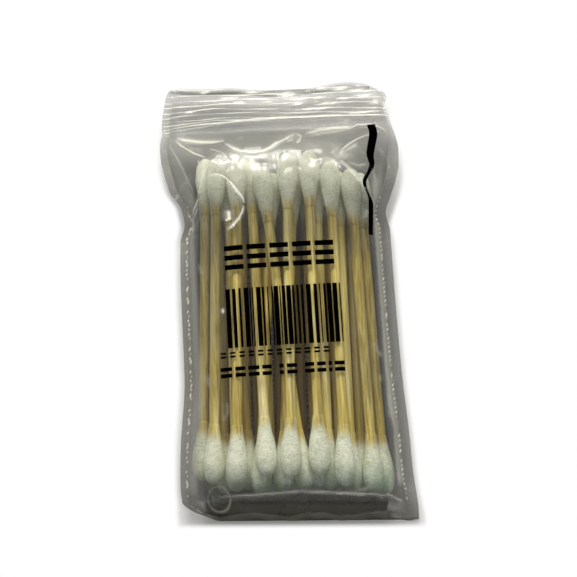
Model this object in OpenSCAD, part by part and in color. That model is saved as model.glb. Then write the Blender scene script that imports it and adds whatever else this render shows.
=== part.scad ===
// Press-to-close bag of bamboo cotton swabs, lying on its back as it was put down.
// X runs across the bag, Y along it with the closure at +Y, and Z is up. Sizes are in millimetres.
// The origin lies under the middle of the bag, on the surface that it rests on.

/* [Swab] */
// Whole length of one swab
swab_len = 72; // [66:0.5:80]
// Diameter of the bamboo stick
stick_d = 2.2; // [1.8:0.05:2.3]
// Fattest diameter of a cotton bud
bud_d = 4.7; // [4.3:0.05:5.2]
// Length of the cotton along the stick
bud_len = 13; // [12:0.25:15]
// Distance from the tip of a bud to its fattest place
bud_nose = 4.4; // [3.5:0.1:5.5]
// Cotton in front of the stick's end
bud_cap = 1.6; // [1:0.1:2.4]
// Thickness of the cotton where the bud runs out on the stick
bud_tail = 0.2; // [0.1:0.02:0.3]
// Fit of the cotton round the stick
stick_fit = 0.02; // [0.01:0.01:0.05]

/* [Bundle] */
// Gap between neighbouring buds of a row at the foot end
foot_gap = 0.25; // [0.2:0.05:0.5]
// Gap between neighbouring buds of a row at the head end
head_gap = 0.18; // [0.15:0.01:0.4]
// Gap between neighbouring buds of the loose top row at the foot end
top_gap = 0.9; // [0.7:0.05:1.2]
// Gap between a bud and the row below that it nests in
nest_gap = 0.14; // [0.1:0.01:0.3]
// How far the feet lie towards the left side of the bag
foot_left = 1.2; // [0:0.1:2]
// How far the heads lie towards the right side of the bag
head_right = 0.4; // [0:0.1:0.6]
// Play between the feet and the end of the bag
foot_play = 1; // [0.5:0.1:2]
// Room between the feet and the bottom fold of the bag
foot_room = 3.4; // [3:0.1:6]

/* [Film] */
// Thickness of the clear film
film_t = 0.12; // [0.08:0.01:0.2]
// Width of the bag across its ears, just under the closure
bag_w = 54.6; // [52:0.2:60]
// Width of the bag halfway up the closure
header_w = 51.6; // [48:0.2:56]
// How far the closure's middle lies to the left of the bag's
header_shift = 0.8; // [0:0.1:1.2]
// How much narrower each side of the bag is at the closure's upper edge than halfway up it
header_taper = 1.1; // [0:0.1:1.4]
// Side margin outside the left weld
fin_left = 1.8; // [1:0.1:2.4]
// Side margin outside the right weld
fin_right = 2.6; // [1.6:0.1:3.2]
// The same margin beside the closure, where it was trimmed
fin_trimmed = 0.6; // [0.4:0.1:1.6]
// Room between the widest row of feet and the left weld
foot_side_room = 0.75; // [0.6:0.05:2]
// Room between the widest row of feet and the right weld
foot_right_room = 1.45; // [0.6:0.05:2.4]
// Room between the heads and the weld at the neck of the bag
neck_room = 1.6; // [1.2:0.1:3]
// Room between the top buds and the front film over them
film_gap = 0.3; // [0.25:0.05:0.6]
// Room between the lowest buds and the back film under them
rest_gap = 0.25; // [0.2:0.05:0.5]
// How far the left bottom corner is tucked in
corner_tuck = 6.5; // [0:0.5:8]
// Slope of the bottom fold, which was not folded quite square
fold_skew = 0.055; // [0:0.005:0.08]
// Height of the side welds over the surface
seam_z = 6.2; // [5:0.1:7]
// How far the film sags between the feet and the heads
film_sag = 1.2; // [0:0.1:2]

/* [Closure] */
// Length of film between the heads and the closure
head_room = 8.4; // [7:0.2:12]
// Width of the closure strips
zip_w = 9.6; // [9:0.2:12]
// Thickness of a strip's flat flange
zip_flange = 0.2; // [0.15:0.01:0.25]
// Space between the two flanges, filled by the ribs and their channels
zip_space = 0.8; // [0.7:0.05:1]
// Distance between the two locking ribs
zip_pitch = 2.1; // [1.9:0.1:2.6]
// Distance from the lower edge of a strip to its first locking rib
zip_edge = 1.2; // [1:0.1:1.6]
// Width of a locking rib's neck
rib_neck = 0.34; // [0.25:0.01:0.4]
// Width of a locking rib's head
rib_head = 0.7; // [0.6:0.01:0.8]
// Running gap between a rib and its channel
zip_fit = 0.06; // [0.04:0.01:0.1]
// Width of the jaws beside a channel
jaw_w = 0.28; // [0.2:0.01:0.35]
// Distance between the grip lines over the locking ribs
grip_pitch = 1.25; // [1:0.05:1.5]
// Height of a grip line
grip_h = 0.24; // [0.1:0.01:0.3]
// Play between the closed strips and the film round them
zip_slack = 0.06; // [0.05:0.01:0.1]
// Room between the ends of the strips and the side welds
zip_end_room = 1.1; // [0.8:0.1:2]
// Film left over the closure as lips
lip = 1.1; // [0.8:0.1:3]
// Height of the closure's lower edge over the surface
header_z = 5; // [4:0.1:7]
// Slope of the closure down towards the lips
header_tilt = 7; // [0:0.5:10]

/* [Hidden] */
// Swabs in each row, from the lowest row up, at the feet and at the heads
FOOT_ROWS = [8, 9, 8, 5];
HEAD_ROWS = [8, 7, 8, 7];
// Push of each foot away from the bottom fold, row by row
PUSH = [
    [0.4, 1.6, 0.8, 0.2, 1.2, 0.4, 1.4, 0.6],
    [3.6, 0.8, 1.6, 0.4, 1.2, 0.6, 1.4, 1.0, 0.4],
    [2.4, 0.8, 0.2, 0.9, 1.1, 1.2, 0.5, 0.2],
    [1.6, 3.6, 3.2, 3.8, 1.6],
];
// Swabs whose head lies in another row or place than their foot:
// row and place of the foot, then row and place of the head
MOVED = [
    [1, 0, 2, 0], [1, 8, 2, 7], [2, 0, 3, 0], [2, 7, 3, 6],
    [1, 1, 1, 0], [1, 2, 1, 1], [1, 3, 1, 2], [1, 4, 1, 3],
    [1, 5, 1, 4], [1, 6, 1, 5], [1, 7, 1, 6],
    [3, 0, 3, 1], [3, 1, 2, 2], [2, 2, 2, 3], [2, 3, 2, 4], [2, 4, 3, 2], [2, 5, 2, 5],
    [3, 2, 3, 3], [3, 3, 3, 4], [3, 4, 3, 5],
];
// Swabs that lie a little off their place:
// row and place of the foot, then foot across, foot up, head across, head up
EASED = [
    [2, 4, 0, 0.8, 0, 0.6],
    [2, 5, 0.3, 0, 0, 0],
    [2, 6, 0.1, 0, 0, 0],
    [2, 7, 0, 0, 0.2, 0],
    [3, 0, -0.9, 0.8, -0.4, 0.2],
    [3, 1, 0, 0.4, 0, 0],
    [3, 2, -0.6, 1.1, 1.2, 0.8],
    [3, 3, 0, 0.7, 1, 0.6],
    [3, 4, -0.2, 0.5, 0.7, 0.4],
];
// The highest that a swab of the top row is eased, and the furthest that one is pushed
top_ease = max([for (e = EASED) if (e[0] == 3) max(e[3], e[5])]);
top_push = foot_play + max(PUSH[3]);

bud_r = bud_d / 2;
head_pitch = bud_d + head_gap;
foot_pitch = bud_d + foot_gap;
top_pitch = bud_d + top_gap;
row_rise = sqrt(pow(bud_d + nest_gap, 2) - pow(head_pitch / 2, 2));
first_row_z = film_t + rest_gap + bud_r;
top_row_z = first_row_z + 3 * row_rise;
film_top = top_row_z + top_ease + bud_r + film_gap;

feet_half = (FOOT_ROWS[1] - 1) / 2 * foot_pitch + bud_r;
heads_half = (HEAD_ROWS[2] - 1) / 2 * head_pitch + bud_r;
foot_edge_left = feet_half + foot_left + foot_side_room + fin_left;
foot_edge_right = feet_half - foot_left + foot_right_room + fin_right;
neck_edge_left = heads_half - head_right + neck_room + fin_left;
neck_edge_right = heads_half + head_right + neck_room / 2 + fin_right;
ear_half = bag_w / 2;
header_left = header_w / 2 + header_shift;
header_right = header_w / 2 - header_shift;

fold_drop = fold_skew * (ear_half - 1);
bag_len = fold_drop + foot_room + top_push + swab_len + head_room + zip_w + lip;
fold_y = fold_drop - bag_len / 2;
feet_y = fold_y + foot_room;
heads_y = feet_y + top_push + swab_len;
zip_y = heads_y + head_room;
mouth_y = bag_len / 2;
zip_half_t = zip_flange + zip_space / 2;
zip_room = zip_half_t / cos(header_tilt) + zip_slack;

// Places along the bag, from the bottom fold to the mouth. Each row gives the place, how far the margin's
// left and right edges lie from the middle, the height of the weld, the inside heights of the front and
// back film at the middle, and how square the section is.
SPINE = [
    [fold_y, ear_half - 1.4, ear_half - 1, film_t, film_t, film_t, 3],
    [fold_y + 0.9, ear_half - 1.3, ear_half - 0.8, film_t + 0.5, 2.6, film_t, 3],
    [fold_y + 1.7, ear_half - 1.3, ear_half - 0.5, 0.3 * seam_z, 0.5 * film_top, film_t, 3.4],
    [fold_y + 2.4, ear_half - 1.4, ear_half - 0.5, 0.5 * seam_z, 0.74 * film_top, film_t, 3.8],
    [feet_y, foot_edge_left, foot_edge_right + 1.6, 0.75 * seam_z, 0.86 * film_top, film_t, 4.2],
    [feet_y + 3, foot_edge_left + 0.1, foot_edge_right + 0.3, seam_z, 0.96 * film_top, film_t, 4.6],
    [feet_y + 7, foot_edge_left, foot_edge_right, seam_z, film_top, film_t, 4.8],
    [feet_y + 14, foot_edge_left - 0.4, foot_edge_right - 0.2, seam_z, film_top - 0.2, film_t, 4.4],
    [feet_y + 0.4 * swab_len, neck_edge_left + 1.6, neck_edge_right + 0.9, seam_z, film_top - film_sag, film_t, 4],
    [heads_y - 0.4 * swab_len, neck_edge_left + 1.5, neck_edge_right + 0.7, seam_z, film_top - film_sag, film_t, 4],
    [heads_y - 17.2, neck_edge_left + 1.1, neck_edge_right + 0.7, seam_z, film_top - 0.3, film_t, 4.2],
    [heads_y - 13.2, neck_edge_left, neck_edge_right, seam_z, film_top, film_t, 4.8],
    [heads_y - 9.2, neck_edge_left + 0.6, neck_edge_right + 1.3, seam_z - 0.2, film_top, film_t, 4.8],
    [heads_y - 5.2, ear_half - 1.9, ear_half - 1.2, seam_z - 0.5, film_top, film_t + 0.1, 4.6],
    [heads_y - 1.2, ear_half - 0.8, ear_half - 0.2, seam_z - 0.9, film_top - 0.2, film_t + 0.6, 4.2],
    [heads_y + 2.6, ear_half - 0.1, ear_half, header_z, film_top - 3, film_t + 1.6, 3.4],
    [heads_y + 5.2, ear_half, ear_half - 0.4, header_z, header_z + 5.8, header_z - 2.2, 4],
    [zip_y - 0.8, header_left + 0.3, header_right + 1.3, header_z + 0.1, header_z + zip_room + 0.8,
        header_z - zip_room - 0.1, 14],
    closure_row(zip_y - 0.1, header_left + 0.1, header_right + 1.1),
    closure_row(zip_y + zip_w / 2, header_left, header_right),
    closure_row(zip_y + zip_w + 0.1, header_left - header_taper, header_right - header_taper),
    closure_row(mouth_y, header_left - 2, header_right - 3),
];
// Distance between the sections of the film, and the rows between which the bag runs nearly straight,
// where they may lie twice as far apart
STATION_STEP = 2.6;
STRAIGHT = [7, 9];
COLUMNS = 10;
// The back film is pressed flat by the table, so its section is squarer and cut off at the table
BACK_PRESS = 1.2;
BACK_SQUARE = 1.6;

function two_digits(i) = i < 10 ? str("0", i) : str(i);

// Height of the closure's middle plane at a place along the bag, and a row of the table there
function closure_z(y) = header_z - (y - zip_y) * tan(header_tilt);
function closure_row(y, left, right) =
    [y, left, right, closure_z(y), closure_z(y) + zip_room, closure_z(y) - zip_room, 80];

// Swab layout
function moved(r, i) = [for (m = MOVED) if (m[0] == r && m[1] == i) [m[2], m[3]]];
function eased(r, i) = [for (m = EASED) if (m[0] == r && m[1] == i) [m[2], m[3], m[4], m[5]]];
function head_place(r, i) = let (m = moved(r, i)) len(m) > 0 ? m[0] : [r, i];
function ease(r, i) = let (m = eased(r, i)) len(m) > 0 ? m[0] : [0, 0, 0, 0];
function row_z(r) = first_row_z + r * row_rise;
function foot_step(r) = r == 3 ? top_pitch : foot_pitch;
function foot_x(r, i) = (i - (FOOT_ROWS[r] - 1) / 2) * foot_step(r) - foot_left + ease(r, i)[0];
function head_x(r, i) = (i - (HEAD_ROWS[r] - 1) / 2) * head_pitch + head_right;
function foot_y(r, i) = feet_y + foot_play + PUSH[r][i] - fold_skew * foot_x(r, i);
function foot_at(r, i) = [foot_x(r, i), foot_y(r, i), row_z(r) + ease(r, i)[1]];
function head_at(r, i) =
    let (
        foot = foot_at(r, i),
        place = head_place(r, i),
        across = head_x(place[0], place[1]) + ease(r, i)[2] - foot[0],
        up = row_z(place[0]) + ease(r, i)[3] - foot[2]
    )
    foot + [across, sqrt(swab_len * swab_len - across * across - up * up), up];
// Every swab as its foot end, its head end, the row of its foot and the row of its head
SWABS = [for (r = [0:3]) for (i = [0:FOOT_ROWS[r] - 1]) [foot_at(r, i), head_at(r, i), r, head_place(r, i)[0]]];

// Lays a shape that stands along Z on the line from one point to another
module along(from, to) {
    d = to - from;
    translate(from) rotate([0, acos(d[2] / norm(d)), atan2(d[1], d[0])]) children();
}

module stick(i) {
    color("burlywood")
        along(SWABS[i][0], SWABS[i][1])
            translate([0, 0, bud_cap]) cylinder(h = swab_len - 2 * bud_cap, d = stick_d, $fn = 24);
}

// A curve through four control points
function curve(a, b, c, d, t) =
    a * pow(1 - t, 3) + 3 * b * t * pow(1 - t, 2) + 3 * c * t * t * (1 - t) + d * pow(t, 3);
function bud_outline() =
    let (tail_r = stick_d / 2 + bud_tail)
    concat(
        [for (k = [0:6]) curve([0, 0], [0.6 * bud_r, 0], [bud_r, 0.35 * bud_nose], [bud_r, bud_nose], k / 6)],
        [for (k = [1:8]) curve([bud_r, bud_nose], [bud_r, bud_nose + 2.2], [tail_r + 0.25, bud_len - 3.4],
            [tail_r, bud_len], k / 8)]
    );

module bud() {
    bore_r = stick_d / 2 + stick_fit;
    color("ivory")
        rotate_extrude($fn = 32)
            polygon(concat(bud_outline(), [[bore_r, bud_len], [bore_r, bud_cap], [0, bud_cap]]));
}

module foot_buds(r) {
    for (s = SWABS) if (s[2] == r) along(s[0], s[1]) bud();
}

module head_buds(r) {
    for (s = SWABS) if (s[3] == r) along(s[1], s[0]) bud();
}

// Smooth value between the rows of a table, with no overshoot, and straight from the closure on
function row_of(t, y, i = 0) = i >= len(t) - 2 || y < t[i + 1][0] ? i : row_of(t, y, i + 1);
function rate(t, c, i) = (t[i + 1][c] - t[i][c]) / (t[i + 1][0] - t[i][0]);
function slope(t, c, i) =
    i == 0 ? rate(t, c, 0) :
    i == len(t) - 1 ? rate(t, c, i - 1) :
    t[i][0] > zip_y - 0.5 ? rate(t, c, i) :
    let (a = rate(t, c, i - 1), b = rate(t, c, i)) a * b <= 0 ? 0 : 2 * a * b / (a + b);
function smooth_at(t, c, y) =
    let (
        i = row_of(t, y),
        h = t[i + 1][0] - t[i][0],
        k = (y - t[i][0]) / h,
        k2 = k * k,
        k3 = k2 * k
    )
    t[i][c] * (2 * k3 - 3 * k2 + 1) + slope(t, c, i) * h * (k3 - 2 * k2 + k)
    + t[i + 1][c] * (3 * k2 - 2 * k3) + slope(t, c, i + 1) * h * (k3 - k2);

STATIONS = concat(
    [for (i = [0:len(SPINE) - 2])
        let (
            step = STATION_STEP * (i >= STRAIGHT[0] && i <= STRAIGHT[1] ? 2 : 1),
            n = max(1, round((SPINE[i + 1][0] - SPINE[i][0]) / step))
        )
        for (k = [0:n - 1]) SPINE[i][0] + k * (SPINE[i + 1][0] - SPINE[i][0]) / n],
    [mouth_y]
);

// Places across the bag, from weld to weld, as shares of the half width
SHARES = [for (j = [-COLUMNS:COLUMNS]) sin(90 * j / COLUMNS)];
function crown(u, p) = pow(max(0, 1 - pow(abs(u), p)), 0.5);
function edge_left(y) = -smooth_at(SPINE, 1, y) + corner_tuck * pow(max(0, 1 - (y - fold_y) / foot_room), 1.5);
function edge_right(y) = smooth_at(SPINE, 2, y);
// Share of the way from one place to another, eased at both ends
function step_at(from, to, y) = let (k = max(0, min(1, (y - from) / (to - from)))) k * k * (3 - 2 * k);
function weld_left(y) = edge_left(y) + fin_left;
function weld_right(y) = edge_right(y) - fin_right + (fin_right - fin_trimmed) * step_at(heads_y, zip_y, y);
function across(u, y) = let (a = weld_left(y), b = weld_right(y)) (a + b) / 2 + u * (b - a) / 2;
// The place along the bag once the bottom is skewed
function along_y(x, y) = y - fold_skew * x * (1 - step_at(feet_y + 3, feet_y + bud_len + 4, y));
function front_z(u, y) =
    let (s = smooth_at(SPINE, 3, y))
    s + (smooth_at(SPINE, 4, y) - s) * crown(u, smooth_at(SPINE, 6, y));
function back_z(u, y) =
    let (s = smooth_at(SPINE, 3, y), b = smooth_at(SPINE, 5, y))
    y > zip_y - 1 ? s - (s - b) * crown(u, smooth_at(SPINE, 6, y)) :
    max(b, s - (s - b) * BACK_PRESS * crown(u, smooth_at(SPINE, 6, y) + BACK_SQUARE));
function at(x, y, z) = [x, along_y(x, y), z];

// One ring of the outside of the film, from the left margin over the front and back under it
function outer_ring(y) =
    let (s = smooth_at(SPINE, 3, y), left = edge_left(y), right = edge_right(y))
    concat(
        [at(left, y, s + film_t)],
        [for (u = SHARES) at(across(u, y), y, front_z(u, y) + film_t)],
        [at(right, y, s + film_t), at(right, y, s - film_t)],
        [for (j = [2 * COLUMNS:-1:0]) at(across(SHARES[j], y), y, back_z(SHARES[j], y) - film_t)],
        [at(left, y, s - film_t)]
    );
// One ring of the inside, from the left weld over the front to the right weld and back under it
function inner_ring(y) =
    concat(
        [for (u = SHARES) at(across(u, y), y, front_z(u, y))],
        [for (j = [2 * COLUMNS - 1:-1:1]) at(across(SHARES[j], y), y, back_z(SHARES[j], y))]
    );

OUTER_N = 4 * COLUMNS + 6;
INNER_N = 4 * COLUMNS;
RING_COUNT = len(STATIONS);
OUTER_COUNT = OUTER_N * RING_COUNT;
function outer_id(k, j) = k * OUTER_N + (j % OUTER_N);
// The inside starts at the second station with a single line of points, where front and back meet
FOLD_POINTS = 2 * COLUMNS + 1;
function fold_id(j) = OUTER_COUNT + (j <= 2 * COLUMNS ? j : 4 * COLUMNS - j);
function inner_id(k, j) =
    k == 1 ? fold_id(j % INNER_N) : OUTER_COUNT + FOLD_POINTS + (k - 2) * INNER_N + (j % INNER_N);

module bag_film() {
    last = RING_COUNT - 1;
    fold = STATIONS[1];
    points = concat(
        [for (y = STATIONS) each outer_ring(y)],
        [for (u = SHARES) at(across(u, fold), fold, film_t + 0.02)],
        [for (k = [2:last]) each inner_ring(STATIONS[k])]
    );
    outside = [for (k = [0:last - 1]) for (j = [0:OUTER_N - 1])
        each [[outer_id(k, j), outer_id(k + 1, j), outer_id(k + 1, j + 1)],
            [outer_id(k, j), outer_id(k + 1, j + 1), outer_id(k, j + 1)]]];
    inside_fold = [for (j = [0:INNER_N - 1])
        each [[inner_id(1, j), inner_id(2, j + 1), inner_id(2, j)],
            [inner_id(1, j), inner_id(1, j + 1), inner_id(2, j + 1)]]];
    inside = [for (k = [2:last - 1]) for (j = [0:INNER_N - 1])
        each [[inner_id(k, j), inner_id(k + 1, j + 1), inner_id(k + 1, j)],
            [inner_id(k, j), inner_id(k, j + 1), inner_id(k + 1, j + 1)]]];
    bottom = [for (j = [0:2 * COLUMNS + 1])
        each [[outer_id(0, j), outer_id(0, j + 1), outer_id(0, OUTER_N - 1 - j)],
            [outer_id(0, j + 1), outer_id(0, OUTER_N - 2 - j), outer_id(0, OUTER_N - 1 - j)]]];
    front_lip = [for (j = [0:2 * COLUMNS - 1])
        each [[outer_id(last, j + 1), inner_id(last, j), inner_id(last, j + 1)],
            [outer_id(last, j + 1), inner_id(last, j + 1), outer_id(last, j + 2)]]];
    back_lip = [for (j = [0:2 * COLUMNS - 1])
        let (o = 2 * COLUMNS + 4 + j, n = 2 * COLUMNS + j)
        each [[outer_id(last, o), inner_id(last, n), inner_id(last, n + 1)],
            [outer_id(last, o), inner_id(last, n + 1), outer_id(last, o + 1)]]];
    side_ends = [
        [outer_id(last, 0), inner_id(last, 0), outer_id(last, 1)],
        [outer_id(last, 0), outer_id(last, OUTER_N - 1), inner_id(last, 0)],
        [outer_id(last, OUTER_N - 1), outer_id(last, OUTER_N - 2), inner_id(last, 0)],
        [outer_id(last, 2 * COLUMNS + 1), inner_id(last, 2 * COLUMNS), outer_id(last, 2 * COLUMNS + 2)],
        [outer_id(last, 2 * COLUMNS + 2), inner_id(last, 2 * COLUMNS), outer_id(last, 2 * COLUMNS + 3)],
        [outer_id(last, 2 * COLUMNS + 3), inner_id(last, 2 * COLUMNS), outer_id(last, 2 * COLUMNS + 4)],
    ];
    color([0.75, 0.76, 0.74, 0.35])
        polyhedron(points, concat(outside, inside_fold, inside, bottom, front_lip, back_lip, side_ends),
            convexity = 8);
}

// Sweeps a closure section, drawn with Y along the bag and Z up, from weld to weld
module closure_sweep() {
    from = -header_left + header_taper + fin_left + zip_end_room;
    to = header_right - header_taper - fin_trimmed - zip_end_room;
    translate([0, zip_y, header_z]) rotate([-header_tilt, 0, 0])
        translate([from, 0, 0]) rotate([90, 0, 90]) linear_extrude(height = to - from) children();
}

zip_len = zip_w / cos(header_tilt) - 0.1;
grip_start = zip_edge + 2 * zip_pitch;
grip_count = floor((zip_len - grip_start - 0.3) / grip_pitch) + 1;
head_drop = zip_space - zip_fit;
function grip_y(k) = grip_start + k * grip_pitch;

// Two locking ribs with barbed heads on a flat flange, and the grip lines beside them
module zip_rib_strip() {
    color("gainsboro") closure_sweep() {
        translate([0, zip_space / 2]) square([zip_len, zip_flange]);
        for (y = [zip_edge, zip_edge + zip_pitch])
            translate([y, zip_space / 2 + 0.01])
                polygon([
                    [-rib_neck / 2, 0], [-rib_neck / 2, -0.5 * head_drop], [-rib_head / 2, -0.5 * head_drop],
                    [-rib_neck / 2, -head_drop], [rib_neck / 2, -head_drop],
                    [rib_head / 2, -0.5 * head_drop], [rib_neck / 2, -0.5 * head_drop], [rib_neck / 2, 0],
                ]);
        for (k = [0:grip_count - 1])
            translate([grip_y(k) - 0.2, zip_space / 2 - grip_h]) square([0.4, grip_h + 0.01]);
    }
}

// Channels with hooked jaws that the ribs snap into, on a flat flange of their own
module zip_channel_strip() {
    mouth = rib_neck / 2 + zip_fit;
    hollow = rib_head / 2 + zip_fit;
    hook = zip_space - 0.5 * head_drop + 0.08;
    jaw_top = zip_space - 2 * zip_fit;
    color("lightgray") closure_sweep() {
        translate([0, -zip_space / 2 - zip_flange]) square([zip_len, zip_flange]);
        for (y = [zip_edge, zip_edge + zip_pitch])
            translate([y, -zip_space / 2]) difference() {
                translate([-hollow - jaw_w, -zip_flange / 2])
                    square([2 * (hollow + jaw_w), jaw_top + zip_flange / 2]);
                polygon([
                    [-hollow, 0], [hollow, 0], [hollow, hook], [mouth, hook],
                    [mouth + 0.04, jaw_top + 0.1], [-mouth - 0.04, jaw_top + 0.1], [-mouth, hook], [-hollow, hook],
                ]);
            }
        for (k = [0:grip_count - 1])
            translate([grip_y(k) - 0.2, -zip_space / 2 - zip_flange / 2]) square([0.4, grip_h + zip_flange / 2]);
    }
}

bag_film();
zip_rib_strip();
zip_channel_strip();
for (i = [1:30]) stick(i - 1);
for (r = [1:4]) foot_buds(r - 1);
for (r = [1:4]) head_buds(r - 1);
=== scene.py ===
# %% [markdown]
# # A clear bag of bamboo cotton swabs
#
# The object is a small press-to-close bag of thin clear film. It lies on its back with thirty
# double-ended swabs in it. The imported part already holds every solid at its real size, so this lesson
# only dresses it: the film gets its folds and creases, the cotton its fibres, the bamboo its grain.
# The part comes in first.

import math

import bmesh
import bpy
import numpy as np
from mathutils import Matrix, Vector
from mathutils.bvhtree import BVHTree


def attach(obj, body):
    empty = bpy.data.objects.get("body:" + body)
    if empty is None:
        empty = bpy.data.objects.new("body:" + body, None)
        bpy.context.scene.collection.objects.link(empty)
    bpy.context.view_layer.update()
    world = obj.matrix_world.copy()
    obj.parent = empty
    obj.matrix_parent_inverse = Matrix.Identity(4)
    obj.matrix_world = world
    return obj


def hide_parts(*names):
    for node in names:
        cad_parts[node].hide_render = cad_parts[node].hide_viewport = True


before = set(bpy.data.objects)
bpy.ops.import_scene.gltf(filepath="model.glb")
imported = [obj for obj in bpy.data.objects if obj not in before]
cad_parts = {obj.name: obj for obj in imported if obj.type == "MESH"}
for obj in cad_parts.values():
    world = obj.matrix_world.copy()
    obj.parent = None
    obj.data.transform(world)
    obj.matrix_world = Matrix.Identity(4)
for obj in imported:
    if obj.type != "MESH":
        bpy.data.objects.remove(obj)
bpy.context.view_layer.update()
MM = 0.001

# %% [markdown]
# ## The camera
#
# The photograph looks down on the bag from beyond its bottom end, almost from overhead, and the bag
# leans a little to the left. A long lens from a third of a metre away gives the same faint
# perspective. Aiming a camera is easiest with two points: where it looks, and where it stands.

# %% Camera
LENS = 100
CAMERA_DISTANCE = 360 * MM
CAMERA_HEIGHT_ANGLE = math.radians(78)
CAMERA_TURN = math.radians(-3.4)
LOOK_AT = Vector((0.2, 2.2, 6)) * MM

camera = bpy.data.objects.new("camera", bpy.data.cameras.new("camera"))
camera.data.lens = LENS
back = Vector((
    math.sin(CAMERA_TURN) * math.cos(CAMERA_HEIGHT_ANGLE),
    -math.cos(CAMERA_TURN) * math.cos(CAMERA_HEIGHT_ANGLE),
    math.sin(CAMERA_HEIGHT_ANGLE),
))
camera.location = LOOK_AT + back * CAMERA_DISTANCE
camera.rotation_euler = back.to_track_quat("Z", "Y").to_euler()
camera.data.clip_start, camera.data.clip_end = 0.01, 10
bpy.context.scene.collection.objects.link(camera)
bpy.context.scene.camera = camera
print("camera at", [round(v / MM) for v in camera.location], "mm")

# %% [markdown]
# ## Maths on sockets
#
# A material is a tree of nodes, and most of them only add or multiply. Writing `1 - mask` in Python
# reads better than a Math node and two links, so one small class wraps an output socket and lets the
# usual operators add those nodes. Every other node comes from its method `node`, which takes the
# node's kind, then its settings, then what goes into its sockets.

# %% Socket class
class Signal:
    """One output of a material's node tree."""

    def __init__(self, tree, socket=None):
        self.tree, self.socket = tree, socket

    def node(self, kind, settings=(), inputs=(), output=0):
        made = self.tree.nodes.new("ShaderNode" + kind)
        for name, value in dict(settings).items():
            if name == "stops":
                fill_ramp(made.color_ramp, value)
            else:
                setattr(made, name, value)
        for name, value in dict(inputs).items():
            if isinstance(value, Signal):
                self.tree.links.new(value.socket, made.inputs[name])
            else:
                made.inputs[name].default_value = value
        return Signal(self.tree, made.outputs[output])

    def other(self, name):
        return Signal(self.tree, self.socket.node.outputs[name])

    def maths(self, operation, *values):
        return self.node("Math", {"operation": operation}, dict(enumerate(values)))

    def at_most(self, limit):
        return self.maths("MINIMUM", self, limit)

    def __add__(self, other):
        return self.maths("ADD", self, other)

    def __sub__(self, other):
        return self.maths("SUBTRACT", self, other)

    def __rsub__(self, other):
        return self.maths("SUBTRACT", other, self)

    def __mul__(self, other):
        return self.maths("MULTIPLY", self, other)

    __radd__, __rmul__ = __add__, __mul__


# %% [markdown]
# A few helpers finish the set. Colours must not pass through a Math node, which would turn them grey,
# so `blend` and `dim` use the Mix node. `share_along` turns a place into a share from 0 to 1, for what
# changes with height or length. A colour is written as it looks on a screen.

# %% Helpers for materials
def fill_ramp(ramp, stops):
    while len(ramp.elements) > 1:
        ramp.elements.remove(ramp.elements[-1])
    for i, (place, shade) in enumerate(stops):
        element = ramp.elements[0] if i == 0 else ramp.elements.new(place)
        element.position, element.color = place, shade


def paint(red, green, blue):
    """A colour as it looks on a screen, from 0 to 255, as Blender's linear colour."""
    screen = (red / 255, green / 255, blue / 255)
    return tuple(v / 12.92 if v < 0.04045 else ((v + 0.055) / 1.055) ** 2.4 for v in screen) + (1.0,)


def blend(share, first, second):
    """The first colour where share is 0, and the second where it is 1."""
    return share.node("Mix", {"data_type": "RGBA"}, {0: share, 6: first, 7: second}, 2)


def dim(share, colour, tint):
    """The colour, multiplied by a tint where share is 1."""
    settings = {"data_type": "RGBA", "blend_type": "MULTIPLY"}
    return share.node("Mix", settings, {0: share, 6: colour, 7: tint}, 2)


def share_along(place, axis, start, end):
    """Nothing before the start in metres along an axis, all after the end, eased between."""
    along = place.node("SeparateXYZ", inputs={"Vector": place}, output=axis)
    return along.node("MapRange", {"interpolation_type": "SMOOTHSTEP"}, {
        "Value": along, "From Min": start, "From Max": end, "To Min": 0.0, "To Max": 1.0,
    })


def on_mesh(start, name):
    """The number that a mesh carries at each of its points under a name."""
    return start.node("Attribute", {"attribute_name": name}, output="Fac")


def new_material(name):
    """An empty material, and a Signal to build its nodes on."""
    material = bpy.data.materials.new(name)
    material.use_nodes = True
    material.node_tree.nodes.clear()
    return material, Signal(material.node_tree)


def show(start, shader, output="Material"):
    end = start.tree.nodes.new("ShaderNodeOutput" + output)
    start.tree.links.new(shader.socket, end.inputs["Surface"])


def show_surface(start, inputs):
    show(start, start.node("BsdfPrincipled", inputs=inputs))


# %% [markdown]
# ## Light
#
# A soft weak sky lights everything. Rays from the camera, and those that reach the sky by way of gloss
# or glass, see pure white instead. So the background is white and the film's gloss is bright, while dull
# surfaces get only the weak light.

# %% Sky
SKY_LIGHT = 0.15
WHITE = (1, 1, 1, 1)


def seen_as_white(start):
    """One for the rays that should see white, and nothing for the light that falls on the object."""
    path = start.node("LightPath", output="Is Camera Ray")
    return (path + path.other("Is Glossy Ray") + path.other("Is Transmission Ray")).at_most(1.0)


world = bpy.data.worlds.new("soft_sky")
bpy.context.scene.world = world
world.use_nodes = True
world.node_tree.nodes.clear()
sky = Signal(world.node_tree)
light = sky.node("Background", inputs={"Color": WHITE, "Strength": SKY_LIGHT})
white = sky.node("Background", inputs={"Color": WHITE, "Strength": 1.0})
show(sky, sky.node("MixShader", inputs={0: seen_as_white(sky), 1: light, 2: white}), "World")
print("sky strength:", SKY_LIGHT)

# %% [markdown]
# Four area lamps shape the light. A wide window stands beyond the bag's mouth: the tilted header
# mirrors it, and the foot end stays in shade. A small lamp low on the left draws thin bright lines along
# creases, which only a small lamp does. A weak one lifts the foot end, and a very small one near the mouth
# brightens the header and the swabs' heads.

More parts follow.
